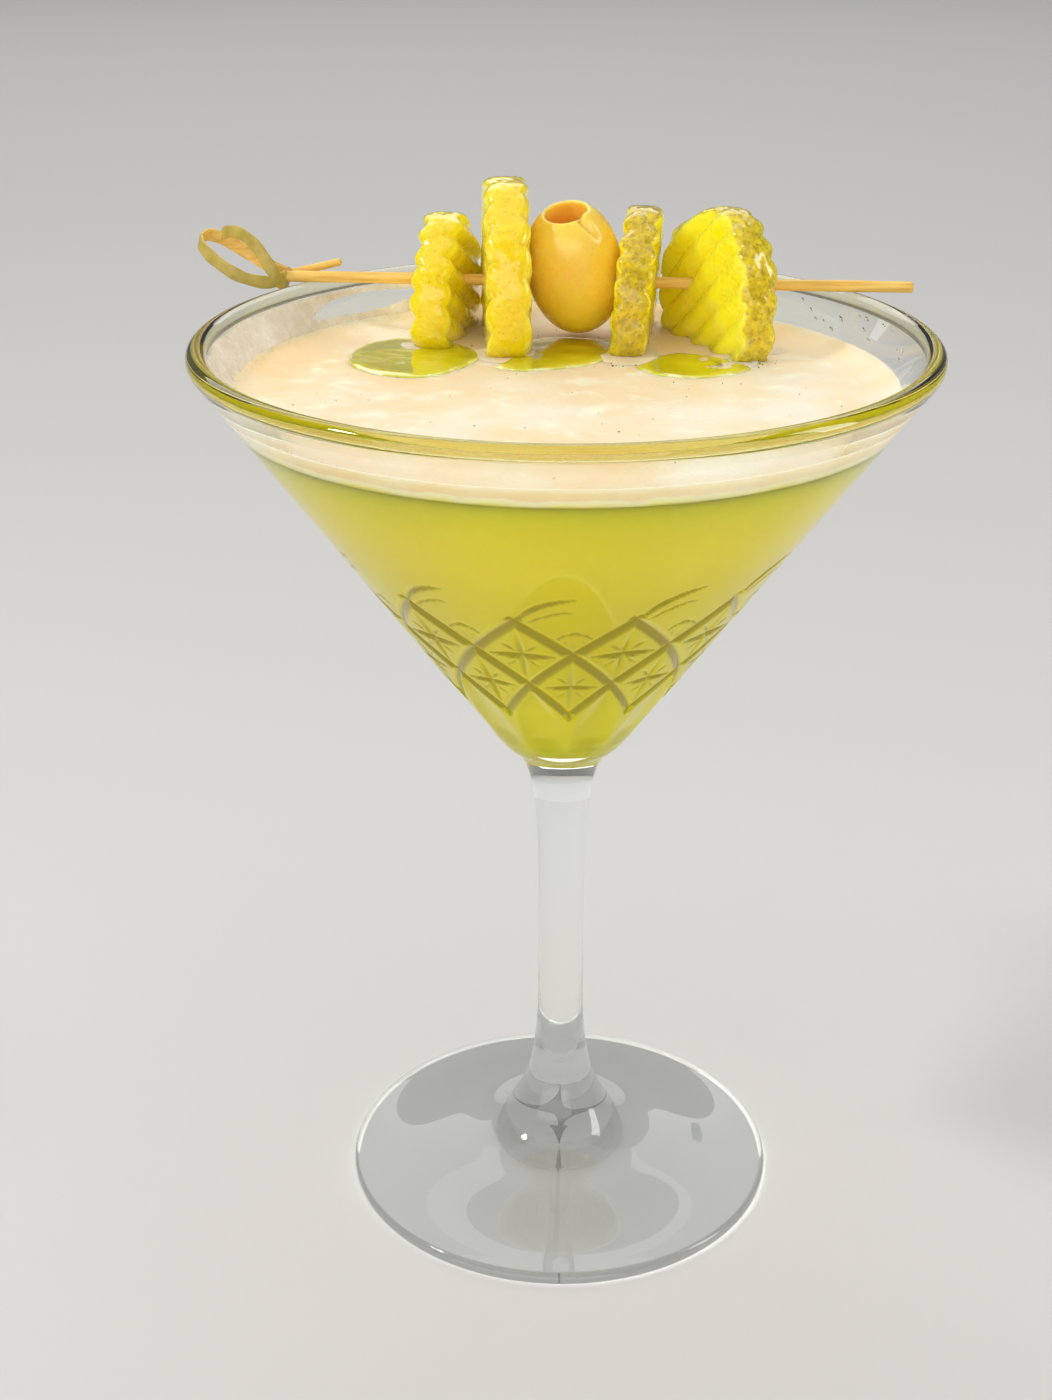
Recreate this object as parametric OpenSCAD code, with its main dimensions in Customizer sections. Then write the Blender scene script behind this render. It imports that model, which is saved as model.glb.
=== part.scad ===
// A stemmed cocktail glass with a green drink under a pale foam, and a knotted bamboo
// pick of pickle slices and an olive laid across its rim. Millimetres, +Z up, origin
// at the centre of the foot's underside. The front of the drink faces -Y.

/* [Bowl] */
// Widest diameter of the rim
rim_d = 116; // [110:1:120]
// Height of the rim's top
rim_z = 152; // [148:1:156]
// Radius of the rounded lip
lip_r = 1.6; // [1.4:0.1:1.8]
// Half angle of the bowl's cone
cone_angle = 36; // [34:0.5:37]
// Thickness of the bowl's wall
wall = 2.6; // [2:0.1:3]
// Height where the cone's outside starts to round in
round_z = 90; // [89:0.5:94]
// Outer radius of the corner where the rounding meets the flare
base_r = 8.4; // [8:0.1:10]
// Height of that corner
base_z = 82.8; // [82:0.1:84]
// Height of the bowl's floor at its middle
floor_z = 85.6; // [85:0.1:87]

/* [Stem and foot] */
// Thinnest radius of the stem
stem_r = 3.87; // [3.4:0.01:4.2]
// Radius of the stem at the end of its upper flare
stem_top_r = 4; // [3.8:0.01:4.4]
// Height where the upper flare ends
stem_top_z = 60; // [55:1:64]
// Height where the lower flare starts
stem_low_z = 38; // [34:1:44]
// Diameter of the foot
foot_d = 74.4; // [70:0.2:78]
// Radius of the foot's rounded edge
foot_edge_r = 1.15; // [1:0.05:1.4]
// Radius where the lower flare meets the foot's slope
foot_hub_r = 18; // [16:1:20]
// Height of the foot at that radius
foot_hub_z = 6.6; // [6:0.1:7]

/* [Drink] */
// Level of the drink, which is the foam's underside
drink_z = 141.8; // [140:0.1:142.5]
// Level of the foam in the middle
foam_z = 143.4; // [143:0.1:144]
// Level that the foam climbs to at the wall
foam_edge_z = 145.3; // [144:0.1:146]
// Width of the ring where it climbs
foam_climb = 8; // [4:0.5:12]

/* [Pick] */
// Radius of the pick
pick_r = 0.95; // [0.8:0.05:1.1]
// Distance of the pick behind the glass's axis
pick_y = 33.1; // [31:0.1:34]
// Turn of the pick from the X axis
pick_turn = -3.54; // [-5:0.01:0]
// Left end of the shaft, in the knot
pick_left = -48.2; // [-50:0.1:-47]
// Right end of the shaft
pick_right = 57.6; // [54:0.1:60]
// Width of the split strip that makes the knot
strip_w = 2.1; // [1.6:0.1:2.4]
// Thickness of that strip
strip_t = 0.6; // [0.5:0.05:0.8]
// Radius of the strip's cut tail
tail_r = 0.65; // [0.5:0.05:0.8]

/* [Olive] */
// Half length of the olive
olive_half = 11.3; // [10:0.1:12]
// Radius of the olive
olive_r = 7.5; // [7:0.1:7.6]
// Squareness of the olive's outline, where 2 is an ellipse
olive_square = 2.3; // [2:0.05:2.5]
// Radius of the pit hole
pit_r = 3.5; // [3:0.1:3.8]
// Depth of the pit hole
pit_depth = 8.5; // [6:0.1:9]

/* [Pickle slices] */
// Height of the ridges above the slice's mean face
ridge_h = 0.5; // [0.3:0.05:0.6]
// Squareness of a slice's outline, where 2 is an ellipse
slice_square = 2.15; // [2:0.05:2.5]
// How much a slice swells at its lower front, as a share of its half width
foot_swell = 0.15; // [0:0.01:0.3]

/* [Hidden] */
$fn = 96;

slope = tan(cone_angle);
lip_c = [rim_d / 2 - lip_r, rim_z - lip_r];
lip_out = [lip_c.x + lip_r * cos(cone_angle), lip_c.y - lip_r * sin(cone_angle)];
wall_across = wall / cos(cone_angle);
// Where the lip's circle meets the inside of the wall
lip_in_angle = 180 - cone_angle + acos((wall - lip_r) / lip_r);
floor_edge_z = floor_z + 3.6;
foot_r = foot_d / 2;
pick_z = rim_z + pick_r;
pick_from = [pick_left, pick_y - pick_left * tan(-pick_turn), pick_z];
pick_len = (pick_right - pick_left) / cos(pick_turn);
olive_pos = [1.4, 33, 155.2];
olive_tilt = [16.5, -9, 0];

// Each slice: centre, turn about Z, lean to the right, half width, half height, thickness,
// pitch of the ridges of its crinkle cut, and their angle to the horizontal
slices = [
    [[-20.1, 35.2, 151.8], -12, 0, 12.2, 12.2, 6, 4, 26],
    [[-10.1, 32.2, 154.2], 4, 0, 15, 15.9, 6.6, 4.8, 42],
    [[11.9, 32.4, 151.7], -6, 4.4, 13.8, 13.8, 5.2, 4.3, 42],
    [[25.1, 30, 152], 28, 5, 14, 14, 6, 4.3, 42],
];

function outer_r(z) = lip_out.x - (lip_out.y - z) * slope;
function inner_r(z) = outer_r(z) - wall_across;

// Points on a circle about c, from angle a to angle b
function arc(c, r, a, b, n) = [for (i = [0:n]) let (t = a + (b - a) * i / n) c + r * [cos(t), sin(t)]];

function bezier(p, n) = [
    for (i = [0:n])
        let (t = i / n, u = 1 - t)
            u * u * u * p[0] + 3 * u * u * t * p[1] + 3 * u * t * t * p[2] + t * t * t * p[3]
];

// A smooth run through hand-set points, with n steps between each pair
function through(p, n) = [
    for (i = [0:len(p) - 2], k = [0:n - 1])
        let (
            a = p[max(i - 1, 0)],
            b = p[i],
            c = p[i + 1],
            d = p[min(i + 2, len(p) - 1)],
            t = k / n
        )
            b + t / 2 * (c - a) + t * t / 2 * (2 * a - 5 * b + 4 * c - d)
            + t * t * t / 2 * (3 * b - a - 3 * c + d),
    p[len(p) - 1]
];

// The floor of the bowl, from the wall in to the axis
floor_curve = bezier([
    [inner_r(floor_edge_z), floor_edge_z],
    [inner_r(floor_edge_z) - 2.2, floor_edge_z - 3],
    [inner_r(floor_edge_z) / 2, floor_z],
    [0, floor_z]
], 10);

// From the straight of the cone in to the corner
round_base = bezier([
    [outer_r(round_z), round_z],
    [outer_r(round_z) - 2.6, round_z - 3.6],
    [base_r + 1.5, base_z + 0.6],
    [base_r, base_z]
], 10);

// From that corner down to the stem
upper_flare = bezier([
    [base_r, base_z],
    [5.3, base_z - 2.8],
    [4.25, base_z - 8],
    [stem_top_r, stem_top_z]
], 20);

// From the stem out to the slope of the foot
lower_flare = bezier([[stem_r, stem_low_z], [stem_r, 19], [6.3, 9.4], [foot_hub_r, foot_hub_z]], 20);

foot_top = bezier([
    [foot_hub_r, foot_hub_z],
    [foot_hub_r + 7, foot_hub_z - 1.7],
    [foot_r - 8, 2 * foot_edge_r + 0.5],
    [foot_r - foot_edge_r, 2 * foot_edge_r]
], 10);

glass_outline = concat(
    [[0, 0]],
    arc([foot_r - foot_edge_r, foot_edge_r], foot_edge_r, -90, 90, 10),
    [for (i = [len(foot_top) - 2:-1:0]) foot_top[i]],
    [for (i = [len(lower_flare) - 2:-1:0]) lower_flare[i]],
    [for (i = [len(upper_flare) - 1:-1:0]) upper_flare[i]],
    [for (i = [len(round_base) - 2:-1:0]) round_base[i]],
    arc(lip_c, lip_r, -cone_angle, lip_in_angle, 16),
    floor_curve
);

// The foam's top, from the wall in to where it is level
foam_edge_r = inner_r(foam_edge_z);
foam_top = bezier([
    [foam_edge_r, foam_edge_z],
    [foam_edge_r - 0.3 * foam_climb, foam_edge_z - 1.3],
    [foam_edge_r - 0.5 * foam_climb, foam_z],
    [foam_edge_r - foam_climb, foam_z]
], 6);

module glass() {
    color([0.82, 0.9, 0.88, 0.4])
        rotate_extrude()
            polygon(glass_outline);
}

module drink() {
    color([0.8, 0.78, 0.04])
        difference() {
            rotate_extrude()
                polygon(concat([[0, drink_z], [inner_r(drink_z), drink_z]], floor_curve));
            for (s = slices) slice(s);
        }
}

module foam() {
    color([0.96, 0.91, 0.8])
        difference() {
            rotate_extrude()
                polygon(concat([[0, drink_z], [inner_r(drink_z), drink_z]], foam_top, [[0, foam_z]]));
            for (s = slices) slice(s);
        }
}

// The space that the straight part of the pick takes
module shaft() {
    translate(pick_from)
        rotate([0, 90, pick_turn])
            cylinder(r = pick_r, h = pick_len);
}

// A flat strip bent along a path, on edge, with its width as near upright as it can be
module strip(path) {
    n = len(path);
    along = [for (i = [0:n - 1]) path[min(i + 1, n - 1)] - path[max(i - 1, 0)]];
    dir = [for (v = along) v / norm(v)];
    side = [for (v = dir) let (w = cross(v, [0.25, 0.1, 1])) w / norm(w)];
    up = [for (i = [0:n - 1]) cross(side[i], dir[i])];
    corner = [[-1, -1], [1, -1], [1, 1], [-1, 1]];
    points = [
        for (i = [0:n - 1], c = corner)
            path[i] + side[i] * c.x * strip_t / 2 + up[i] * c.y * strip_w / 2
    ];
    faces = concat(
        [[3, 2, 1, 0]],
        [
            for (i = [0:n - 2], k = [0:3])
                let (a = 4 * i + k, b = 4 * i + (k + 1) % 4)
                    [a, b, b + 4, a + 4]
        ],
        [[for (k = [0:3]) 4 * (n - 1) + k]]
    );
    polyhedron(points, faces);
}

module pick() {
    near_loop = [
        [-47.2, 35.6, 153], [-50, 33.4, 152.4], [-54.5, 32, 153.7], [-58.7, 33, 156.1],
        [-61.8, 36, 158.4], [-60.6, 39.2, 159.4], [-57.4, 40, 157.8], [-53, 38.9, 155.5],
        [-49.5, 37.2, 153.8], [-46.8, 36, 153.2]
    ];
    far_loop = [
        [-47.2, 36.6, 151.9], [-48, 34.6, 152], [-49.4, 33.7, 154.3], [-51.8, 34.3, 158],
        [-54.6, 36.2, 160], [-57.4, 38.8, 159.9], [-58.6, 41.2, 158.4], [-55.8, 42.2, 156.2],
        [-51.5, 40.4, 154.2], [-47.2, 36.6, 153.3]
    ];
    tail_from = [-47.4, 36.4, 153.2];
    tail_to = [-38.2, 38.5, 154.9];
    tail = tail_to - tail_from;
    color([0.82, 0.66, 0.35]) {
        shaft();
        strip(through(near_loop, 3));
        strip(through(far_loop, 3));
        translate(tail_from)
            rotate([0, acos(tail.z / norm(tail)), atan2(tail.y, tail.x)])
                cylinder(r = tail_r, h = norm(tail));
    }
}

module olive() {
    steps = 28;
    egg = [
        for (i = [0:steps])
            let (a = -90 + 180 * i / steps)
                let (across = pow(abs(cos(a)), olive_square), up = pow(abs(sin(a)), olive_square))
                let (full = pow(across + up, -1 / olive_square))
                    [max(olive_r * cos(a) * full, 0), olive_half * sin(a) * full]
    ];
    color([0.92, 0.74, 0.28])
        difference() {
            translate(olive_pos)
                rotate(olive_tilt)
                    difference() {
                        rotate_extrude() polygon(egg);
                        translate([0, 0, olive_half - pit_depth])
                            cylinder(r = pit_r, h = pit_depth);
                        translate([0, 0, olive_half - pit_depth])
                            sphere(r = pit_r);
                    }
            shaft();
        }
}

// One crinkle-cut slice, standing across the pick
module slice(s) {
    points = 48;
    outline = [
        for (i = [0:points - 1])
            let (
                a = 360 * i / points,
                c = abs(cos(a)),
                d = abs(sin(a)),
                r = pow(pow(c, slice_square) + pow(d, slice_square), -1 / slice_square)
                    * (1 + 0.012 * sin(3 * a + 40 * s[3]))
                    * (1 + foot_swell * exp(-pow((a - 222) / 28, 2)))
            )
                [s[3] * r * cos(a), s[4] * r * sin(a)]
    ];
    reach = s[3] + s[4];
    wave_steps = 6;
    count = ceil(reach / s[6]) * wave_steps;
    wave = [for (i = [-count:count]) [i * s[6] / wave_steps, ridge_h * cos(360 * i / wave_steps)]];
    slab = concat(
        [for (p = wave) [p.x, p.y - s[5] / 2]],
        [for (i = [len(wave) - 1:-1:0]) [wave[i].x, wave[i].y + s[5] / 2]]
    );
    translate(s[0])
        rotate([0, s[2], s[1]])
            rotate([90, 0, 90])
                intersection() {
                    translate([0, 0, -s[5]])
                        linear_extrude(2 * s[5])
                            polygon(outline);
                    rotate([0, 0, 90 - s[7]])
                        rotate([90, 0, 0])
                            translate([0, 0, -reach])
                                linear_extrude(2 * reach)
                                    polygon(slab);
                }
}

module pickle(k) {
    color([0.85, 0.8, 0.08])
        difference() {
            slice(slices[k - 1]);
            shaft();
        }
}

glass();
drink();
foam();
pick();
olive();
pickle(1);  // pickle_1
pickle(2);  // pickle_2
pickle(3);  // pickle_3
pickle(4);  // pickle_4
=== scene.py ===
"""The looks of a foamy green cocktail in a cut-pattern glass, with pickles and an olive on a bamboo pick.

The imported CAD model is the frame: levels, radii and places come from its nodes. Shapes are worked out in
millimetres, as the real things are measured, and turned into metres where a mesh is made.
"""

import math

import bpy
import numpy as np
from mathutils import Matrix, Vector, noise


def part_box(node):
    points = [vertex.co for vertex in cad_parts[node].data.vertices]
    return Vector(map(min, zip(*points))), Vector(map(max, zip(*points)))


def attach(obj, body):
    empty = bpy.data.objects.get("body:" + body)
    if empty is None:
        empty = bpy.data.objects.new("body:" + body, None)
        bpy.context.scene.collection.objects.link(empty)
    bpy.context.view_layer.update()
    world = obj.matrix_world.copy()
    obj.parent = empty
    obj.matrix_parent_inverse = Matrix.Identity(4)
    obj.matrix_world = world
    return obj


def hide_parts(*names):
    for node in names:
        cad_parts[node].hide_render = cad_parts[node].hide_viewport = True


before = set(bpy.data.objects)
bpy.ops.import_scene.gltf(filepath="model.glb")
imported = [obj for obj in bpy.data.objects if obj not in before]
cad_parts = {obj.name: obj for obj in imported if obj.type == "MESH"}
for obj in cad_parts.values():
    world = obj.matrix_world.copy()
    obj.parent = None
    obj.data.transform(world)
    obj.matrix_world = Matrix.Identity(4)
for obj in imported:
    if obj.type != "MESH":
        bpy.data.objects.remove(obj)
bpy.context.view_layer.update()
MM = 0.001
RNG = np.random.default_rng(7)


def node_box(name):
    """Lowest and highest corner of a CAD node in millimetres."""
    low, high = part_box(name)
    return np.array(low) / MM, np.array(high) / MM


GLASS_HIGH = node_box("glass")[1]
FOAM_LOW, FOAM_HIGH = node_box("foam")

# ---------------------------------------------------------------- dimensions, in millimetres

RIM_R = GLASS_HIGH[1]
RIM_Z = GLASS_HIGH[2]
LIP_R = 1.6
CONE = math.radians(36)
WALL = 2.6
ROUND_Z = 90.0
BASE = (8.4, 82.8)
STEM_R = 3.87
STEM_TOP = (4.0, 60.0)
STEM_LOW_Z = 38.0
FOOT_R = 37.2
FOOT_EDGE_R = 1.15
FOOT_HUB = (18.0, 6.6)
FLOOR_Z = 85.6
DRINK_Z = FOAM_LOW[2]
FOAM_Z = 143.4
FOAM_EDGE_Z = FOAM_HIGH[2]
FOAM_CLIMB = 8.0
INTO_WALL = 0.12
# Points round the drink and the foam
LIQUID_COLUMNS = 240

SLOPE = math.tan(CONE)
LIP_C = (RIM_R - LIP_R, RIM_Z - LIP_R)
LIP_OUT = (LIP_C[0] + LIP_R * math.cos(CONE), LIP_C[1] - LIP_R * math.sin(CONE))
WALL_ACROSS = WALL / math.cos(CONE)
FLOOR_EDGE_Z = FLOOR_Z + 3.6


def outer_r(z):
    return LIP_OUT[0] - (LIP_OUT[1] - z) * SLOPE


def inner_r(z):
    return outer_r(z) - WALL_ACROSS


# ---------------------------------------------------------------- mesh helpers


def bezier(points, n):
    p = np.array(points, float)
    t = np.linspace(0, 1, n + 1)[:, None]
    u = 1 - t
    return u**3 * p[0] + 3 * u * u * t * p[1] + 3 * u * t * t * p[2] + t**3 * p[3]


def arc(centre, r, start, end, n):
    """Points on a circle in the (radius, height) plane, angles in degrees."""
    t = np.radians(np.linspace(start, end, n + 1))
    return np.column_stack([centre[0] + r * np.cos(t), centre[1] + r * np.sin(t)])


def piece(name, verts, faces, material, sharp=None, **values):
    """A mesh object from millimetre points, which rides on the part's one body.

    Edges over the angle sharp, in degrees, are left sharp. The values are one number for each point.
    """
    mesh = bpy.data.meshes.new(name)
    mesh.from_pydata((np.asarray(verts, float) * MM).tolist(), [], [list(f) for f in faces])
    mesh.validate()
    mesh.materials.append(material)
    mesh.polygons.foreach_set("use_smooth", [True] * len(mesh.polygons))
    if sharp is not None:
        mesh.set_sharp_from_angle(angle=math.radians(sharp))
    for key, value in values.items():
        mesh.attributes.new(key, "FLOAT", "POINT").data.foreach_set("value", np.asarray(value, np.float32))
    mesh.update()
    obj = bpy.data.objects.new(name, mesh)
    bpy.context.scene.collection.objects.link(obj)
    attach(obj, "root")
    return obj


def ring_points(radius, height, columns):
    """Points round the axis, counted from the front (-Y) towards +X."""
    t = np.radians(np.arange(columns) * 360 / columns)
    return np.column_stack([radius * np.sin(t), -radius * np.cos(t), np.full(columns, height)])


def lathe(profile, columns):
    """Vertices and faces of a profile turned about Z; the profile's ends on the axis become single points."""
    verts = []
    rows = []
    for r, z in profile:
        if r < 1e-6:
            rows.append([len(verts)])
            verts.append((0.0, 0.0, z))
        else:
            rows.append(list(range(len(verts), len(verts) + columns)))
            verts.extend(ring_points(r, z, columns).tolist())
    faces = []
    for low, high in zip(rows, rows[1:]):
        for j in range(columns):
            k = (j + 1) % columns
            if len(low) == 1 and len(high) == 1:
                continue
            if len(low) == 1:
                faces.append((low[0], high[k], high[j]))
            elif len(high) == 1:
                faces.append((low[j], low[k], high[0]))
            else:
                faces.append((low[j], low[k], high[k], high[j]))
    return verts, faces


def tube(rings, count):
    """Faces between rings of count points that follow one another, closed at both ends."""
    faces = []
    for i in range(rings - 1):
        for k in range(count):
            b = i * count
            m = (k + 1) % count
            faces.append((b + k, b + m, b + count + m, b + count + k))
    faces.append(tuple(range(count))[::-1])
    faces.append(tuple((rings - 1) * count + k for k in range(count)))
    return faces


def gather(parts):
    """One list each of the points, faces and values of parts that were made on their own."""
    verts, faces, values = [], [], []
    for part_verts, part_faces, part_values in parts:
        faces += [tuple(len(verts) + i for i in face) for face in part_faces]
        verts += list(part_verts)
        values += list(part_values)
    return verts, faces, values


# ---------------------------------------------------------------- the glass

# The moulded pattern is a lattice of V grooves with 12 columns, whose crossings step by half a column
COLUMN = 30.0
HALF_COLUMN = COLUMN / 2
CROSSING_TURN = 3.0
CROSSING_Z = 110.95
ROW_STEP = 7.27
FINE = 24
GROOVE_HALF = 5 / FINE
GROOVE_DEPTH = 0.5
CUT_SLOPE = 0.55
# Points in a ring of the plain parts of the glass; rings of the cut wall have two or four times as many
PLAIN_COLUMNS = 144
# The finely cut rows, in steps of ROW_STEP / FINE from a crossing, and the steps and the count of the
# coarser rows over them
FINE_FROM = -54
FINE_TO = 46
COARSE = 2
COARSE_ROWS = 9
CUT_TOP_Z = CROSSING_Z + ROW_STEP * (FINE_TO + COARSE * COARSE_ROWS) / FINE
# How far either side of a point the pattern's slope is taken: upwards in millimetres, round in degrees
NEAR_Z = 0.12
NEAR_TURN = 0.3


def unrolled(turn, z):
    """The place of a point of the cone when it is laid flat: along the slope and across, about the turn 0."""
    slant = outer_r(z) / math.sin(CONE)
    flat_turn = np.radians(turn) * math.sin(CONE)
    return np.stack([slant * np.sin(flat_turn), slant * np.cos(flat_turn)], -1)


def lens(p, a, b, half_width):
    """Depth of a straight V cut from a to b that is widest in its middle and runs out at both ends."""
    a = np.asarray(a)
    along = np.asarray(b) - a
    length = np.linalg.norm(along)
    along = along / length
    d = p - a
    t = np.clip((d @ along) / length, 0, 1)
    off = np.linalg.norm(d - t[..., None] * length * along, axis=-1)
    width = half_width * (4 * t * (1 - t))
    return np.maximum(0, width - off) * CUT_SLOPE


def curved(p, places, half_width):
    """Depth of a V cut along a bent line of places, widest in its middle."""
    n = len(places) - 1
    best = np.full(p.shape[:-1], 1e9)
    at = np.zeros(p.shape[:-1])
    for i in range(n):
        a = places[i]
        along = places[i + 1] - a
        length = np.linalg.norm(along)
        t = np.clip(((p - a) @ along) / length**2, 0, 1)
        off = np.linalg.norm(p - a - t[..., None] * along, axis=-1)
        nearer = off < best
        best = np.where(nearer, off, best)
        at = np.where(nearer, (i + t) / n, at)
    width = half_width * np.sqrt(np.clip(4 * at * (1 - at), 0, 1))
    return np.maximum(0, width - best) * CUT_SLOPE


def bend(points, n=10):
    """A smooth line through three places on the unrolled cone."""
    a, b, c = (np.array(q, float) for q in points)
    t = np.linspace(0, 1, n + 1)[:, None]
    control = 2 * b - (a + c) / 2
    return (1 - t) ** 2 * a + 2 * t * (1 - t) * control + t * t * c


def place(x, y):
    """Unrolled place of a lattice coordinate: x in half columns from a crossing, y in row steps above it."""
    return unrolled(np.asarray(x * HALF_COLUMN), np.asarray(CROSSING_Z + y * ROW_STEP))


def star(p, x, y, reach_x, reach_y, wide):
    """The four-pointed star in a diamond, with the short strokes between its points."""
    depth = lens(p, place(x - reach_x, y), place(x + reach_x, y), wide)
    depth = np.maximum(depth, lens(p, place(x, y - reach_y), place(x, y + reach_y), wide * 0.8))
    for sx in (-1, 1):
        for sy in (-1, 1):
            near = place(x + sx * 0.1, y + sy * 0.12)
            far = place(x + sx * 0.36, y + sy * 0.36)
            depth = np.maximum(depth, lens(p, near, far, wide * 0.42))
    return depth


def sector_depth(turn, z):
    """Depth of every cut but the lattice at turns within a column either side of a crossing column."""
    p = unrolled(turn, z)
    depth = star(p, 0, -1, 0.74, 0.8, 0.8)
    for x in (-1, 1):
        depth = np.maximum(depth, star(p, x, 0, 0.76, 0.8, 0.9))
    fan_top = bend([place(-0.33, 0.52), place(0, 0.72), place(0.33, 0.52)])
    depth = np.maximum(depth, curved(p, fan_top, 0.42))
    for x in (-0.2, 0.0, 0.2):
        depth = np.maximum(depth, lens(p, place(x * 0.35, 0.2), place(x, 0.58), 0.22))
    for x in (-1, 1):
        leaf = bend([place(x, 1.0), place(x + 0.42, 1.5), place(x + 1.0, 1.74)])
        depth = np.maximum(depth, curved(p, leaf, 0.72))
        vein = bend([place(x + 0.12, 0.95), place(x + 0.6, 1.28), place(x + 1.0, 1.36)])
        depth = np.maximum(depth, curved(p, vein, 0.4))
        arch = bend([place(x - 0.42, -2.75), place(x, -1.62), place(x + 0.42, -2.75)], 16)
        depth = np.maximum(depth, thumb(p, x))
        depth = np.maximum(depth, curved(p, arch, 0.12))
    return depth


def thumb(p, x):
    """A hollow with a pointed top, under a lattice crossing, that runs down to the bowl's corner."""
    top = place(x, -1.22)
    foot = place(x, -3.9)
    along = (foot - top) / np.linalg.norm(foot - top)
    across = np.array([-along[1], along[0]])
    d = p - top
    u = d @ along
    v = np.abs(d @ across)
    half = 3.3 * np.clip(u / 8.0, 0, 1) ** 0.7
    hollow = 0.5 * np.clip(1 - (v / np.maximum(half, 1e-6)) ** 2, 0, 1)
    return np.where(u > 0, hollow * np.clip((19 - u) / 4, 0, 1), 0.0)


def zigzag(turn):
    """0 at the lattice's own columns and 1 half way between them, which is how its ends step."""
    return np.abs((turn / HALF_COLUMN + 1) % 2 - 1)


def pattern_depth(turn, z):
    """How deep the moulded pattern goes at each turn and height, in millimetres."""
    x = turn / HALF_COLUMN
    y = (z - CROSSING_Z) / ROW_STEP
    # distance, in half columns, from the nearest line of each family of the lattice
    rising = np.abs((x - y + 1) % 2 - 1)
    falling = np.abs((x + y + 1) % 2 - 1)
    to_line = np.minimum(rising, falling)
    lattice = GROOVE_DEPTH * np.clip(1 - to_line / GROOVE_HALF, 0, 1)
    ends = zigzag(turn)
    inside = (y <= ends + GROOVE_HALF) & (y >= ends - 2 - GROOVE_HALF)
    lattice = np.where(inside, lattice, 0)
    folded = (turn + HALF_COLUMN) % COLUMN - HALF_COLUMN
    return np.maximum(lattice, sector_depth(folded, z))


def pattern_shade(turn, height, radius, depth):
    """How much a ring of the cut wall is tinted.

    Painted shade makes the bottom of each cut darker than the plain wall, and so one of its sides. The
    other side gets less tint, a painted highlight that looks lighter.
    """
    rise = (pattern_depth(turn, height + NEAR_Z) - pattern_depth(turn, height - NEAR_Z)) / (2 * NEAR_Z)
    aside = pattern_depth(turn + NEAR_TURN, height) - pattern_depth(turn - NEAR_TURN, height)
    aside = aside / (math.radians(2 * NEAR_TURN) * radius)
    # a light painted shade over the whole cut zone, fading out above the cuts, so that clearer facets look
    # lighter
    plain = 0.16 * np.clip((CUT_TOP_Z - height) / 10, 0, 1)
    above_thumbs = (height - CROSSING_Z) / ROW_STEP + 2 + GROOVE_HALF - zigzag(turn)
    bottom = np.clip(above_thumbs * 8, 0, 1) * np.clip(depth / GROOVE_DEPTH, 0, 1) ** 2
    # painted shade at the bottom of each cut and on its upward sides; less on its downward sides, as a
    # painted highlight
    shade = plain + 0.9 * bottom + 1.9 * np.maximum(rise, 0) + 0.7 * np.maximum(aside, 0)
    shade += 1.5 * np.minimum(rise, 0) * (1 - bottom)
    return np.clip(shade, 0, 1)


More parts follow.
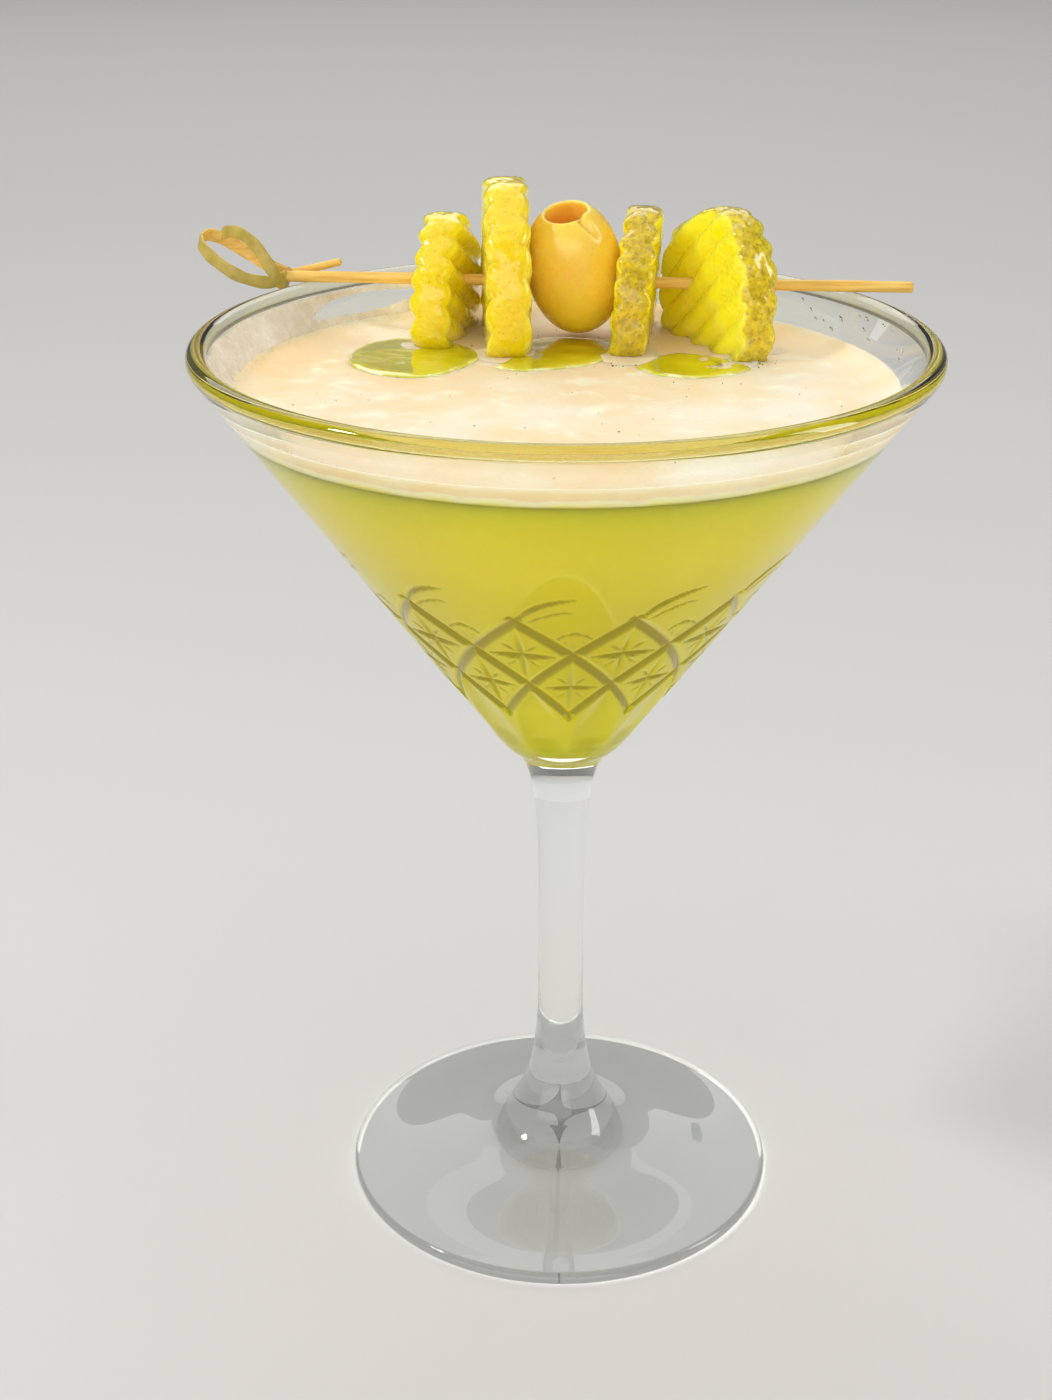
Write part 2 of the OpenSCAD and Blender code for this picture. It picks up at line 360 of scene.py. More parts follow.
def glass_mesh():
    """One closed skin: foot, stem, bowl with the pattern, lip, inside and floor."""
    verts = []
    rows = []
    shades = []

    def add_row(r, z, columns, cut=False):
        turn = np.arange(columns) * 360 / columns
        radius = np.full(columns, float(r))
        height = np.full(columns, float(z))
        shade = np.zeros(columns)
        if cut:
            depth = pattern_depth(turn, height)
            # painted shade of the cuts, which tints the glass
            shade = pattern_shade(turn, height, radius, depth)
            radius = radius - depth * math.cos(CONE)
            height = height + depth * math.sin(CONE)
        shades.extend(shade.tolist())
        t = np.radians(turn + CROSSING_TURN)
        rows.append(list(range(len(verts), len(verts) + columns)))
        verts.extend(np.column_stack([radius * np.sin(t), -radius * np.cos(t), height]).tolist())

    def add_plain(profile):
        for r, z in profile:
            add_row(r, z, PLAIN_COLUMNS)

    foot_edge = arc((FOOT_R - FOOT_EDGE_R, FOOT_EDGE_R), FOOT_EDGE_R, -90, 90, 10)
    foot_top = bezier(
        [
            FOOT_HUB,
            (FOOT_HUB[0] + 7, FOOT_HUB[1] - 1.7),
            (FOOT_R - 8, 2 * FOOT_EDGE_R + 0.5),
            (FOOT_R - FOOT_EDGE_R, 2 * FOOT_EDGE_R),
        ],
        12,
    )[::-1]
    lower_flare = bezier([(STEM_R, STEM_LOW_Z), (STEM_R, 19), (6.3, 9.4), FOOT_HUB], 26)[::-1]
    upper_flare = bezier([BASE, (5.3, BASE[1] - 2.8), (4.25, BASE[1] - 8), STEM_TOP], 30)[::-1]
    round_base = bezier(
        [
            (outer_r(ROUND_Z), ROUND_Z),
            (outer_r(ROUND_Z) - 2.6, ROUND_Z - 3.6),
            (BASE[0] + 1.5, BASE[1] + 0.6),
            BASE,
        ],
        16,
    )[::-1]
    add_plain([(r, 0) for r in (8, 20, 30)])
    add_plain(foot_edge)
    add_plain(foot_top[1:])
    add_plain(lower_flare[1:])
    add_plain(upper_flare[:-1])
    for r, z in round_base[:-1]:
        add_row(r, z, 2 * PLAIN_COLUMNS, cut=True)
    step = ROW_STEP / FINE
    fine_low_z = CROSSING_Z + FINE_FROM * step
    coarse = COARSE * step
    for k in range(int((fine_low_z - ROUND_Z) / coarse), 0, -1):
        z = fine_low_z - k * coarse
        add_row(outer_r(z), z, 2 * PLAIN_COLUMNS, cut=True)
    first_fine = len(rows)
    for j in range(FINE_FROM, FINE_TO + 1):
        z = CROSSING_Z + j * step
        add_row(outer_r(z), z, 4 * PLAIN_COLUMNS, cut=True)
    for k in range(1, COARSE_ROWS + 1):
        z = CROSSING_Z + FINE_TO * step + k * coarse
        add_row(outer_r(z), z, 2 * PLAIN_COLUMNS, cut=True)
    lip_in = 180 - math.degrees(CONE) + math.degrees(math.acos((WALL - LIP_R) / LIP_R))
    add_plain(arc(LIP_C, LIP_R, -math.degrees(CONE), lip_in, 18))
    add_plain([(inner_r(z), z) for z in np.linspace(147.5, FLOOR_EDGE_Z, 12)])
    floor = bezier(
        [
            (inner_r(FLOOR_EDGE_Z), FLOOR_EDGE_Z),
            (inner_r(FLOOR_EDGE_Z) - 2.2, FLOOR_EDGE_Z - 3),
            (inner_r(FLOOR_EDGE_Z) / 2, FLOOR_Z),
            (0, FLOOR_Z),
        ],
        12,
    )
    add_plain(floor[1:-1])
    faces = []
    for i, (low, high) in enumerate(zip(rows, rows[1:])):
        faces.extend(join_rows(low, high, i - first_fine))
    for row, z, up in ((rows[0], 0.0, False), (rows[-1], FLOOR_Z, True)):
        hub = len(verts)
        verts.append((0.0, 0.0, z))
        shades.append(0.0)
        for j in range(len(row)):
            k = (j + 1) % len(row)
            faces.append((row[j], row[k], hub) if up else (row[k], row[j], hub))
    return verts, faces, shades


def join_rows(low, high, fine_row):
    """Faces between two rings, which have the same number of points or one twice the other.

    The finest rings, counted by fine_row, get triangles whose diagonals alternate, so that both
    families of grooves run along edges.
    """
    faces = []
    n, m = len(low), len(high)
    if n == m == 4 * PLAIN_COLUMNS:
        for j in range(n):
            k = (j + 1) % n
            a, b, c, d = low[j], low[k], high[k], high[j]
            if (j + fine_row) % 2 == 0:
                faces += [(a, b, c), (a, c, d)]
            else:
                faces += [(a, b, d), (b, c, d)]
    elif n == m:
        faces = [(low[j], low[(j + 1) % n], high[(j + 1) % n], high[j]) for j in range(n)]
    elif m == 2 * n:
        for j in range(n):
            a, b = low[j], low[(j + 1) % n]
            p, q, r = high[2 * j], high[2 * j + 1], high[(2 * j + 2) % m]
            faces += [(a, q, p), (a, b, q), (b, r, q)]
    else:
        for j in range(m):
            a, b = high[j], high[(j + 1) % m]
            p, q, r = low[2 * j], low[2 * j + 1], low[(2 * j + 2) % n]
            faces += [(p, q, a), (q, b, a), (q, r, b)]
    return faces


# ---------------------------------------------------------------- materials


class Nodes:
    """A material's node tree, with short calls for what the recipes below use."""

    def __init__(self, name):
        self.mat = bpy.data.materials.new(name)
        self.mat.use_nodes = True
        self.tree = self.mat.node_tree
        self.shader = self.tree.nodes["Principled BSDF"]
        self.out = self.tree.nodes["Material Output"]

    def new(self, kind, **values):
        node = self.tree.nodes.new("ShaderNode" + kind)
        for key, value in values.items():
            setattr(node, key, value)
        return node

    def link(self, a, b):
        self.tree.links.new(a, b)

    def set(self, **values):
        for key, value in values.items():
            self.shader.inputs[key.replace("_", " ")].default_value = value

    def drive(self, socket, value):
        self.link(value, self.shader.inputs[socket])

    def coords(self):
        return self.new("TexCoord").outputs["Object"]

    def height(self):
        split = self.new("SeparateXYZ")
        self.link(self.coords(), split.inputs["Vector"])
        return split.outputs["Z"]

    def attribute(self, name):
        return self.new("Attribute", attribute_name=name).outputs["Fac"]

    def cells(self, scale):
        n = self.new("TexVoronoi")
        n.inputs["Scale"].default_value = scale
        self.link(self.coords(), n.inputs["Vector"])
        return n.outputs["Distance"]

    def math(self, operation, a, b=0.0):
        n = self.new("Math", operation=operation)
        for socket, value in zip(n.inputs, (a, b)):
            if isinstance(value, (int, float)):
                socket.default_value = value
            else:
                self.link(value, socket)
        return n.outputs[0]

    def noise(self, scale, detail=4.0, rough=0.55, vector=None):
        n = self.new("TexNoise")
        n.inputs["Scale"].default_value = scale
        n.inputs["Detail"].default_value = detail
        n.inputs["Roughness"].default_value = rough
        self.link(vector or self.coords(), n.inputs["Vector"])
        return n.outputs["Fac"]

    def ramp(self, factor, stops):
        r = self.new("ValToRGB")
        elements = r.color_ramp.elements
        while len(elements) < len(stops):
            elements.new(0.5)
        for e, (at, colour) in zip(elements, stops):
            e.position = at
            e.color = (*colour, 1.0)
        self.link(factor, r.inputs["Fac"])
        return r.outputs["Color"]

    def span(self, value, low, high, to_low=0.0, to_high=1.0):
        m = self.new("MapRange")
        for key, v in (("From Min", low), ("From Max", high), ("To Min", to_low), ("To Max", to_high)):
            m.inputs[key].default_value = v
        self.link(value, m.inputs["Value"])
        return m.outputs["Result"]

    def mix(self, factor, a, b):
        m = self.new("Mix", data_type="RGBA")
        self.link(factor, m.inputs["Factor"])
        colours = [s for s in m.inputs if s.type == "RGBA"]
        for socket, value in zip(colours, (a, b)):
            if isinstance(value, tuple):
                socket.default_value = (*value, 1.0)
            else:
                self.link(value, socket)
        return [s for s in m.outputs if s.type == "RGBA"][0]

    def bump(self, height, strength, distance):
        b = self.new("Bump")
        b.inputs["Strength"].default_value = strength
        b.inputs["Distance"].default_value = distance
        self.link(height, b.inputs["Height"])
        self.drive("Normal", b.outputs["Normal"])


def glass_material():
    m = Nodes("clear_glass")
    m.set(Transmission_Weight=1.0, IOR=1.5)
    # painted shade and painted highlight of the cut pattern: the glass is tinted dark olive where the
    # pattern's painted shade is high
    tint = m.mix(m.attribute("shade"), (0.985, 1.0, 0.99), (0.24, 0.21, 0.01))
    # painted reflection of the drink in the rim, as a green tint of the glass along its front
    tint = m.mix(m.attribute("lip"), tint, (0.7, 0.62, 0.1))
    m.drive("Base Color", tint)
    m.drive("Roughness", m.span(m.noise(60, 3), 0.45, 0.8, 0.0, 0.02))
    m.bump(m.noise(28, 2), 0.06, 0.0004)
    clear = m.new("BsdfTransparent")
    clear.inputs["Color"].default_value = (0.96, 0.97, 0.965, 1.0)
    path = m.new("LightPath")
    mix = m.new("MixShader")
    m.link(path.outputs["Is Shadow Ray"], mix.inputs["Fac"])
    m.link(m.shader.outputs["BSDF"], mix.inputs[1])
    m.link(clear.outputs["BSDF"], mix.inputs[2])
    m.link(mix.outputs["Shader"], m.out.inputs["Surface"])
    return m.mat


def drink_material():
    m = Nodes("green_drink")
    m.set(Roughness=0.4, Subsurface_Weight=1.0, Subsurface_Scale=0.012, Specular_IOR_Level=0.0)
    m.set(Subsurface_Radius=(1.0, 0.9, 0.1))
    height = m.span(m.height(), FLOOR_Z * MM, DRINK_Z * MM)
    cloud = m.noise(35, 3)
    low, middle, high = (0.98, 0.84, 0.001), (0.94, 0.8, 0.001), (0.87, 0.74, 0.001)
    deep = m.ramp(height, [(0.0, low), (0.55, middle), (1.0, high)])
    bright = m.ramp(cloud, [(0.3, (0.92, 0.78, 0.001)), (0.75, (0.98, 0.86, 0.001))])
    mix = m.mix(m.span(cloud, 0.3, 0.7, 0.25, 0.55), deep, bright)
    m.drive("Base Color", mix)
    return m.mat


def foam_material():
    m = Nodes("cream_foam")
    m.set(Roughness=0.45, Subsurface_Weight=0.6, Subsurface_Scale=0.003, Specular_IOR_Level=0.3)
    m.set(Subsurface_Radius=(1.0, 0.8, 0.5))
    peach, cream, white = (0.9, 0.62, 0.33), (0.91, 0.71, 0.46), (0.93, 0.82, 0.66)
    patch = m.ramp(m.noise(38, 5), [(0.36, peach), (0.5, cream), (0.66, white)])
    fine = m.mix(m.span(m.cells(900), 0.05, 0.35), (0.85, 0.68, 0.44), patch)
    colour = m.mix(m.span(m.noise(500, 4), 0.35, 0.6), fine, patch)
    # its foot fades to the colour of the drink
    uneven = m.span(m.noise(160, 4), 0.3, 0.7, -0.0004, 0.0004)
    foot = m.span(m.math("ADD", m.height(), uneven), DRINK_Z * MM, (DRINK_Z + 1.5) * MM)
    side = m.ramp(foot, [(0.0, (0.93, 0.82, 0.12)), (0.4, (0.96, 0.88, 0.5)), (1.0, (0.97, 0.88, 0.74))])
    colour = m.mix(m.span(foot, 0.75, 1.0), side, colour)
    m.drive("Base Color", colour)
    bubbles = m.math("ADD", m.noise(1800, 3), m.math("MULTIPLY", m.cells(1400), 0.6))
    m.bump(bubbles, 0.16, 0.0003)
    return m.mat


def pickle_material(name, skin_dark, skin, rind, flesh):
    """Wet pickle: specked skin at the edge, a pale rind inside it, and clearer flesh in the middle."""
    m = Nodes(name)
    m.set(Subsurface_Weight=0.9, Subsurface_Scale=0.01, Specular_IOR_Level=0.25)
    m.set(Coat_Weight=1.0, Coat_Roughness=0.02)
    m.set(Subsurface_Radius=(1.0, 0.85, 0.12))
    inward = m.attribute("inward")
    uneven = m.math("ADD", inward, m.span(m.noise(420, 4), 0.3, 0.7, -0.5, 0.6))
    specks = m.span(m.cells(1100), 0.1, 0.3)
    skin_colour = m.mix(m.span(m.noise(900, 5, 0.7), 0.35, 0.62), skin_dark, skin)
    skin_colour = m.mix(specks, tuple(c * 0.85 for c in skin_dark), skin_colour)
    flesh_colour = m.mix(m.span(m.noise(260, 4), 0.35, 0.7), flesh, rind)
    inner = m.mix(m.span(uneven, 1.9, 3.2), rind, flesh_colour)
    colour = m.mix(m.span(uneven, 0.35, 0.95), skin_colour, inner)
    m.drive("Base Color", colour)
    m.drive("Roughness", m.span(m.noise(700, 3), 0.3, 0.7, 0.16, 0.36))
    # smooth over most of the slice, with patches of small wet bumps
    bumpy = m.span(m.noise(130, 2), 0.42, 0.6, 0.08, 1.0)
    m.bump(m.math("MULTIPLY", m.cells(1000), bumpy), 0.8, 0.0004)
    return m.mat


def olive_material():
    m = Nodes("olive_skin")
    m.set(Subsurface_Weight=0.7, Subsurface_Scale=0.003, Specular_IOR_Level=0.5)
    m.set(Coat_Weight=0.25, Coat_Roughness=0.12)
    m.set(Subsurface_Radius=(1.0, 0.6, 0.2))
    blotch = m.mix(m.span(m.noise(180, 4), 0.3, 0.7), (0.95, 0.62, 0.06), (0.98, 0.7, 0.11))
    pores = m.mix(m.span(m.cells(1700), 0.05, 0.3), (0.88, 0.55, 0.05), blotch)
    low = m.span(m.height(), 0.1455, 0.154)
    colour = m.mix(low, (0.99, 0.68, 0.02), pores)
    colour = m.mix(m.attribute("inside"), colour, (0.96, 0.58, 0.08))
    m.drive("Base Color", colour)
    m.drive("Roughness", m.span(m.noise(500, 3), 0.3, 0.7, 0.2, 0.34))
    m.bump(m.noise(900, 4), 0.12, 0.0003)
    return m.mat


def bamboo_material():
    m = Nodes("bamboo")
    m.set(Specular_IOR_Level=0.4, Subsurface_Weight=0.1, Subsurface_Scale=0.001)
    stretch = m.new("Mapping")
    stretch.inputs["Scale"].default_value = (60, 1600, 1600)
    m.link(m.coords(), stretch.inputs["Vector"])
    fibres = m.noise(1, 4, 0.6, stretch.outputs["Vector"])
    wood = m.ramp(fibres, [(0.3, (0.7, 0.4, 0.07)), (0.5, (0.87, 0.56, 0.12)), (0.72, (0.92, 0.66, 0.2))])
    rind = m.mix(m.span(m.noise(300, 3), 0.35, 0.65), (0.4, 0.31, 0.05), (0.58, 0.44, 0.1))
    colour = m.mix(m.span(m.attribute("outer"), 0.45, 0.75), wood, rind)
    m.drive("Base Color", colour)
    m.drive("Roughness", m.span(fibres, 0.3, 0.7, 0.5, 0.36))
    m.bump(fibres, 0.25, 0.0003)
    return m.mat


def puddle_material():
    m = Nodes("green_liquid")
    m.set(Specular_IOR_Level=0.6, Coat_Weight=1.0, Coat_Roughness=0.02)
    m.set(Subsurface_Weight=0.5, Subsurface_Scale=0.002)
    edge = m.math("ADD", m.attribute("edge"), m.span(m.noise(250, 3), 0.3, 0.7, -0.08, 0.1))
    rim, thin, deep, middle = (0.9, 0.8, 0.35), (0.68, 0.62, 0.05), (0.6, 0.53, 0.01), (0.72, 0.6, 0.01)
    colour = m.ramp(edge, [(0.0, rim), (0.05, thin), (0.3, deep), (0.9, middle)])
    m.drive("Base Color", colour)
    m.drive("Roughness", m.span(m.noise(600, 2), 0.3, 0.7, 0.05, 0.14))
    m.bump(m.noise(300, 3), 0.15, 0.0006)
    return m.mat


def bubble_material():
    m = Nodes("bubble_film")
    m.set(Transmission_Weight=1.0, IOR=1.25)
    m.drive("Base Color", m.mix(m.noise(600), (0.95, 0.95, 0.8), (1.0, 1.0, 1.0)))
    m.drive("Roughness", m.span(m.noise(900), 0.3, 0.7, 0.02, 0.1))
    return m.mat


def grain_material():
    m = Nodes("spice_grain")
    m.drive("Base Color", m.mix(m.noise(4000), (0.05, 0.04, 0.01), (0.2, 0.15, 0.03)))
    m.drive("Roughness", m.span(m.noise(3000), 0.3, 0.7, 0.4, 0.7))
    return m.mat


def film_material():
    m = Nodes("dried_film")
    m.set(Specular_IOR_Level=0.5)
    cloud = m.noise(160, 5, 0.65)
    m.drive("Base Color", m.ramp(cloud, [(0.3, (0.85, 0.72, 0.52)), (0.7, (0.97, 0.93, 0.85))]))
    thick = m.math("MULTIPLY", m.span(cloud, 0.3, 0.75, 0.45, 0.9), m.attribute("cover"))
    m.drive("Alpha", thick)
    m.drive("Roughness", m.span(m.noise(400), 0.3, 0.7, 0.15, 0.45))
    m.bump(m.noise(380, 4), 0.5, 0.0006)
    return m.mat


# ---------------------------------------------------------------- pieces


def build_glass(mat):
    verts, faces, shades = glass_mesh()
    # painted reflection: the thick rim is tinted with the drink's colour, most of all along its front, in
    # place of the drink seen through it
    _, y, z = np.array(verts).T
    front = np.clip(0.75 - 0.6 * y / RIM_R, 0, 1)
    lip = front * np.clip((z - LIP_C[1] + 0.7) / 0.5, 0, 1)
    obj = piece("glass_body", verts, faces, mat, sharp=24, shade=shades, lip=lip.tolist())
    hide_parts("glass")


def foam_level(r):
    """Height of the foam's top at a radius: level in the middle, climbing at the wall."""
    edge = inner_r(FOAM_EDGE_Z)
    top = bezier(
        [
            (edge - FOAM_CLIMB, FOAM_Z),
            (edge - 0.5 * FOAM_CLIMB, FOAM_Z),
            (edge - 0.3 * FOAM_CLIMB, FOAM_EDGE_Z - 1.3),
            (edge, FOAM_EDGE_Z),
        ],
        24,
    )
    return np.interp(r, top[:, 0], top[:, 1])


def build_drink(mat):
    floor = bezier(
        [
            (inner_r(FLOOR_EDGE_Z) + INTO_WALL, FLOOR_EDGE_Z),
            (inner_r(FLOOR_EDGE_Z) - 2.2 + INTO_WALL, FLOOR_EDGE_Z - 3 - INTO_WALL),
            (inner_r(FLOOR_EDGE_Z) / 2, FLOOR_Z - INTO_WALL),
            (0, FLOOR_Z - INTO_WALL),
        ],
        14,
    )[::-1]
    side = [(inner_r(z) + INTO_WALL, z) for z in np.linspace(FLOOR_EDGE_Z, DRINK_Z, 40)[1:]]
    profile = np.vstack([floor, side, [(0, DRINK_Z)]])
    verts, faces = lathe(profile, LIQUID_COLUMNS)
    obj = piece("drink_body", verts, faces, mat, sharp=60)
    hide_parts("drink")


def build_foam(mat):
    """The head: a side inside the wall and a top that climbs a little at the wall and round the slices."""
    edge = inner_r(FOAM_EDGE_Z) + INTO_WALL
    verts = [(0.0, 0.0, DRINK_Z)]
    rows = []
    columns = LIQUID_COLUMNS
    for z in np.linspace(DRINK_Z, FOAM_EDGE_Z, 9):
        rows.append(range(len(verts), len(verts) + columns))
        verts.extend(ring_points(inner_r(z) + INTO_WALL, z, columns).tolist())
    reach = np.concatenate([[0.15, 0.35, 0.6, 0.9, 1.3, 1.8, 2.4, 3.1], np.linspace(4, edge - 0.8, 76)])
    for back in reach:
        ring = ring_points(edge - back, float(foam_level(edge - back)), columns)
        ring[:, 2] += foam_relief(ring) * min(1.0, back / 1.5)
        rows.append(range(len(verts), len(verts) + columns))
        verts.extend(ring.tolist())
    verts.append((0.0, 0.0, FOAM_Z))
    faces = []
    for j in range(columns):
        k = (j + 1) % columns
        faces.append((0, rows[0][k], rows[0][j]))
        faces.append((len(verts) - 1, rows[-1][j], rows[-1][k]))
    for low, high in zip(rows, rows[1:]):
        for j in range(columns):
            k = (j + 1) % columns
            faces.append((low[j], low[k], high[k], high[j]))
    obj = piece("foam_head", verts, faces, mat, sharp=70)
    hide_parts("foam")


def foam_relief(points):
    """Height of the foam's top above its level: soft swells, and a climb where a slice stands in it."""
    near = np.full(len(points), 1e9)
    for s in SLICES:
        near = np.minimum(near, slice_distance(points, s))
    return foam_swell(points) + 0.55 * np.exp(-np.maximum(near, 0) / 0.7)


def foam_swell(points):
    """Height of the soft swells of the foam's top."""
    return rough(points, 0.06, 3) * 0.16 + rough(points, 0.35, 5) * 0.05


def slice_distance(points, s):
    """Distance of points on the foam from the footprint of a slice."""
    (cx, cy, cz), turn, lean, half_w, half_h, thick = s[:6]
    down = (FOAM_Z - cz) / half_h
    chord = half_w * math.sqrt(max(0.0, 1 - down * down))
    t = math.radians(turn)
    x = points[:, 0] - (cx + (FOAM_Z - cz) * math.tan(math.radians(lean)) * math.cos(t))
    y = points[:, 1] - cy
    across = x * math.cos(t) + y * math.sin(t)
    along = -x * math.sin(t) + y * math.cos(t)
    return np.hypot(np.maximum(np.abs(along) - chord, 0), np.maximum(np.abs(across) - thick / 2, 0))


# ---------------------------------------------------------------- garnish

# Each slice: centre, turn about Z, lean to the right, half width, half height, thickness, and the
# pitch and the angle of its ridges
SLICES = [
    [(-20.1, 35.2, 151.8), -12, 0, 12.2, 12.2, 6, 4.0, 26],
    [(-10.1, 32.2, 154.2), 4, 0, 15, 15.9, 6.6, 4.8, 42],
    [(11.9, 32.4, 151.7), -6, 4.4, 13.8, 13.8, 5.2, 4.3, 42],
    [(25.1, 30, 152), 28, 5, 14, 14, 6, 4.3, 42],
]
# Squareness of a slice's outline, where 2 is an ellipse
SLICE_SQUARE = 2.15
# How much a slice swells at its lower front
FOOT_SWELL = 0.15
RIDGE_H = 0.5
# What flattens each slice's outline: the angle from its back, how far it reaches and how deep it is
DENTS = [
    [(135, 24, 0.12), (52, 24, 0.09)],
    [(130, 18, 0.05)],
    [(128, 22, 0.08), (50, 25, 0.04)],
    [(28, 16, -0.06), (64, 24, 0.08), (108, 16, -0.03)],
]
PICK_R = 0.95
PICK_Y = 33.1
PICK_TURN = math.radians(-3.54)
PICK_Z = RIM_Z + PICK_R
PICK_LEFT = -48.2
PICK_RIGHT = 57.6
OLIVE_POS = (1.4, 33, 155.2)
OLIVE_TILT = (16.5, -9, 0)
OLIVE_HALF = 11.3
OLIVE_R = 7.9
OLIVE_SQUARE = 2.3
PIT_R = 3.5
PIT_DEPTH = 8.5


def rough(points, scale, seed):
    """Smooth noise of about -1 to 1 at points in millimetres; the scale is in waves per millimetre."""
    shift = Vector((seed * 13.7, seed * 5.1, seed * 9.3))
    return np.array([noise.noise(Vector(p) * scale + shift) for p in np.asarray(points, float)])


def slice_mesh(s, seed, dents):
    """One crinkle-cut slice: two faces in rings, a rounded edge, and the band of skin between them."""
    centre, turn, lean, half_w, half_h, thick, pitch, angle = s
    columns = 200
    a = np.linspace(0, 2 * math.pi, columns, endpoint=False)
    k = SLICE_SQUARE
    outline = (np.abs(np.cos(a)) ** k + np.abs(np.sin(a)) ** k) ** (-1 / k)
    outline *= 1 + 0.012 * np.sin(3 * a + math.radians(40 * half_w))
    outline *= 1 + FOOT_SWELL * np.exp(-(((np.degrees(a) - 222) / 28) ** 2))
    for at, reach, deep in dents:
        off = (np.degrees(a) - at + 180) % 360 - 180
        outline *= 1 - deep * np.exp(-((off / reach) ** 2))
    half = thick / 2
    round_r = 0.45 * half
    # each ring: its share of the outline, or else its distance inside it, and its place across the slice
    right = [(t, None, half) for t in np.linspace(0.03, 0.86, 36)]
    for phi in np.radians(np.linspace(0, 90, 6)):
        right.append((None, round_r * (1 - math.sin(phi)), half - round_r * (1 - math.cos(phi))))
    band = np.linspace(half - round_r, -(half - round_r), 15)[1:-1]
    skin_band = [(None, -0.16 * (1 - (w / half) ** 2), w) for w in band]
    rows = right + skin_band + [(t, d, -w) for t, d, w in right][::-1]
    wave_way = math.radians(90 - angle)
    verts = []
    inward = []
    for t, back, w in rows:
        scale = np.full(columns, t) if t is not None else 1 - back / (half_w * outline)
        u = half_w * outline * np.cos(a) * scale
        v = half_h * outline * np.sin(a) * scale
        q = math.pi * (u * math.cos(wave_way) + v * math.sin(wave_way)) / pitch
        q += 0.25 * np.sin(0.23 * v + seed)
        # the ridges are round and the grooves between them narrow, on both faces
        right_side = RIDGE_H * (2 * (np.cos(q) ** 2 + 0.01) ** 0.45 - 1)
        left_side = -RIDGE_H * (2 * (np.sin(q) ** 2 + 0.01) ** 0.45 - 1)
        share = 0.5 + 0.5 * w / half
        verts.append(np.column_stack([w + share * right_side + (1 - share) * left_side, u, v]))
        from_edge = (1 - scale) * np.hypot(u, v) / np.maximum(scale, 1e-3)
        side = half - abs(w)
        inward.append(np.where(side > 0.02, from_edge - side * 0.4, from_edge))
    verts = np.vstack(verts)
    inward = np.concatenate(inward)
    skin = np.clip(1 - inward / 0.8, 0, 1)
    lumps = rough(verts, 0.22, seed)
    pits = rough(verts, 0.85, seed + 1)
    radial = verts * [0, 1, 1]
    radial /= np.maximum(np.linalg.norm(radial, axis=1), 1e-6)[:, None]
    verts = verts + radial * (0.35 * lumps + 0.14 * pits * skin - 0.12)[:, None]
    verts[:, 0] += 0.22 * rough(verts, 0.3, seed + 2) + 0.05 * rough(verts, 1.2, seed + 3) * (1 - skin)
    faces = []
    n = len(rows)
    for i in range(n - 1):
        for j in range(columns):
            m = (j + 1) % columns
            b = i * columns
            faces.append((b + j, b + columns + j, b + columns + m, b + m))
    ends = []
    for b, sign in ((0, 1), ((n - 1) * columns, -1)):
        middle = verts[b : b + columns].mean(axis=0)
        ends.append(middle)
        hub = n * columns + len(ends) - 1
        for j in range(columns):
            m = (j + 1) % columns
            faces.append((hub, b + j, b + m) if sign > 0 else (hub, b + m, b + j))
    verts = np.vstack([verts, ends])
    inward = np.append(inward, [half_w, half_w])
    matrix = Matrix.Rotation(math.radians(turn), 3, "Z") @ Matrix.Rotation(math.radians(lean), 3, "Y")
    verts = verts @ np.array(matrix).T + centre
    return verts, faces, inward


def build_slices(mats):
    for k, (s, mat, dents) in enumerate(zip(SLICES, mats, DENTS), 1):
        verts, faces, inward = slice_mesh(s, 10 * k, dents)
        obj = piece(f"pickle_slice_{k}", verts, faces, mat, inward=inward)
        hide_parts(f"pickle_{k}")


